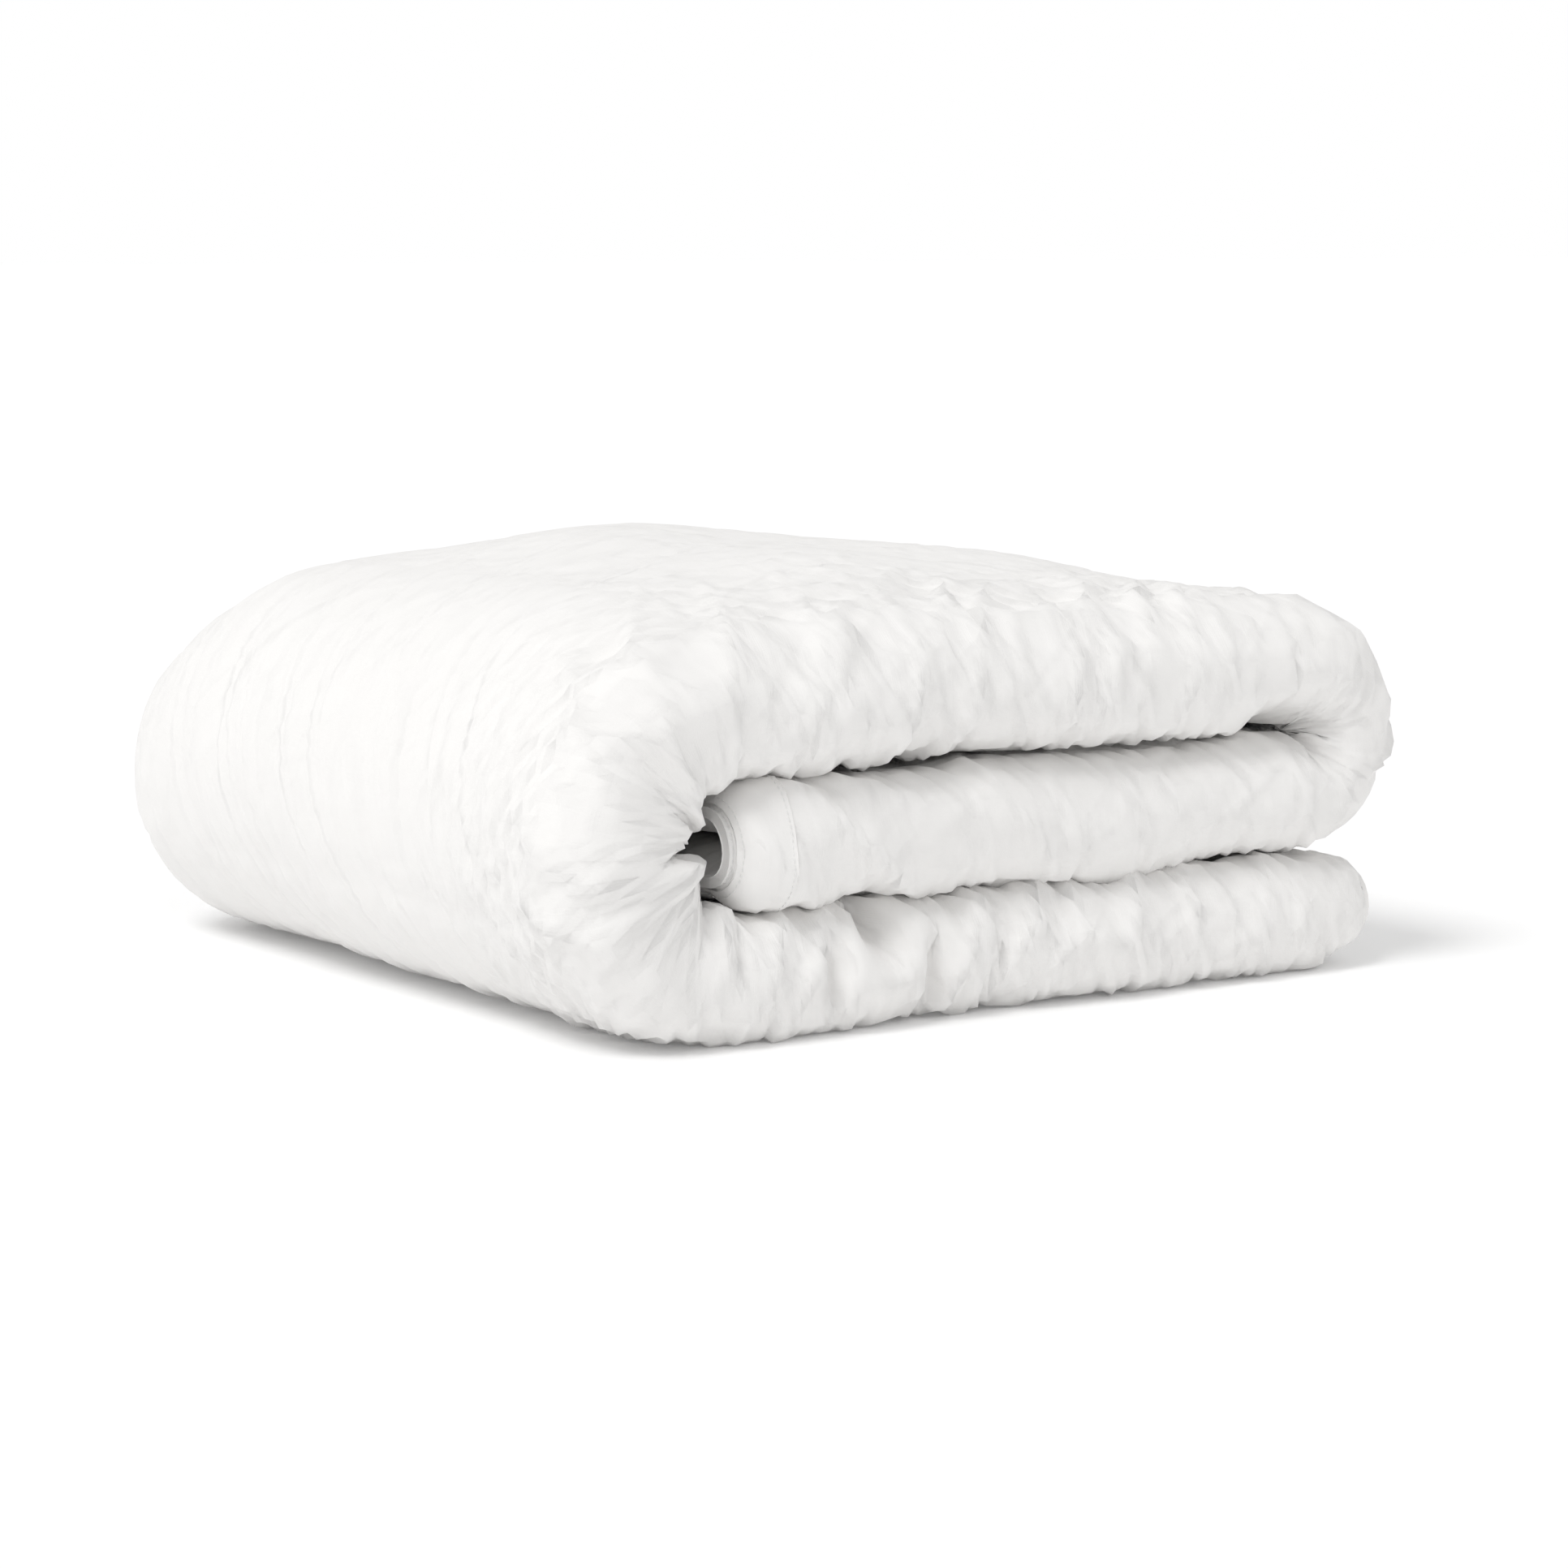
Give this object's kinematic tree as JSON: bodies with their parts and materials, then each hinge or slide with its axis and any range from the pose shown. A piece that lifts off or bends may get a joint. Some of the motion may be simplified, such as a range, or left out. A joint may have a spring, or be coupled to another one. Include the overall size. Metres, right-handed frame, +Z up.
{
  "type": "duvet",
  "caption": "Plain duvet in a buttoned cotton cover, halved lengthwise and folded in three into a soft pile that opens at its left fold.",
  "frame": {"origin": "on the floor under the middle of the folded pile", "axes": "+Z up, -Y towards the halving fold, -X towards the left fold that the pile opens about"},
  "size_m": [0.66, 0.61, 0.286],
  "materials": {
    "cover": "matt woven cotton",
    "ticking": "downproof cotton",
    "down": "loose down and feather",
    "baffle": "woven tape",
    "seam": "sewn cotton, several layers",
    "button": "polished shell",
    "tie": "woven ribbon",
    "label": "blank satin"
  },
  "bodies": {
    "base": {"baffle_inner_base": "baffle", "baffle_middle_base": "baffle", "baffle_outer_base": "baffle", "corner_tie_head_inner": "tie", "corner_tie_head_outer": "tie", "cover_back_base": "cover", "cover_face_base": "cover", "down_head_inner_back": "down", "down_head_inner_front": "down", "down_head_outer_back": "down", "down_head_outer_front": "down", "head_seam": "seam", "side_seam_inner_base": "seam", "side_seam_outer_base": "seam", "ticking_inner_base": "ticking", "ticking_outer_base": "ticking", "baffle_inner_fold": "baffle", "baffle_middle_fold": "baffle", "baffle_outer_fold": "baffle", "cover_back_fold": "cover", "cover_face_fold": "cover", "down_left_fold_inner_back": "down", "down_left_fold_inner_front": "down", "down_left_fold_outer_back": "down", "down_left_fold_outer_front": "down", "side_seam_inner_fold": "seam", "side_seam_outer_fold": "seam", "ticking_inner_fold": "ticking", "ticking_outer_fold": "ticking"},
    "upper": {"baffle_inner_upper": "baffle", "baffle_middle_upper": "baffle", "baffle_outer_upper": "baffle", "button_1": "button", "button_2": "button", "button_3": "button", "button_4": "button", "button_5": "button", "care_label": "label", "corner_tie_foot_inner": "tie", "corner_tie_foot_outer": "tie", "cover_back_upper": "cover", "cover_face_upper": "cover", "down_right_fold_inner_back": "down", "down_right_fold_inner_front": "down", "down_right_fold_outer_back": "down", "down_right_fold_outer_front": "down", "down_top_inner_back": "down", "down_top_inner_front": "down", "down_top_outer_back": "down", "down_top_outer_front": "down", "down_tuck_inner_back": "down", "down_tuck_inner_front": "down", "down_tuck_outer_back": "down", "down_tuck_outer_front": "down", "foot_hem": "seam", "placket": "seam", "side_seam_inner_upper": "seam", "side_seam_outer_upper": "seam", "ticking_inner_upper": "ticking", "ticking_outer_upper": "ticking"}
  },
  "joints": [
    {"name": "unfold", "type": "hinge", "parent": "base", "child": "upper", "pos_m": [-0.2095, 0, 0.143], "axis": [0, -1, 0], "range_deg": [0, 178], "deforming": ["baffle_inner_fold", "baffle_middle_fold", "baffle_outer_fold", "cover_back_fold", "cover_face_fold", "down_left_fold_inner_back", "down_left_fold_inner_front", "down_left_fold_outer_back", "down_left_fold_outer_front", "side_seam_inner_fold", "side_seam_outer_fold", "ticking_inner_fold", "ticking_outer_fold"]}
  ]
}
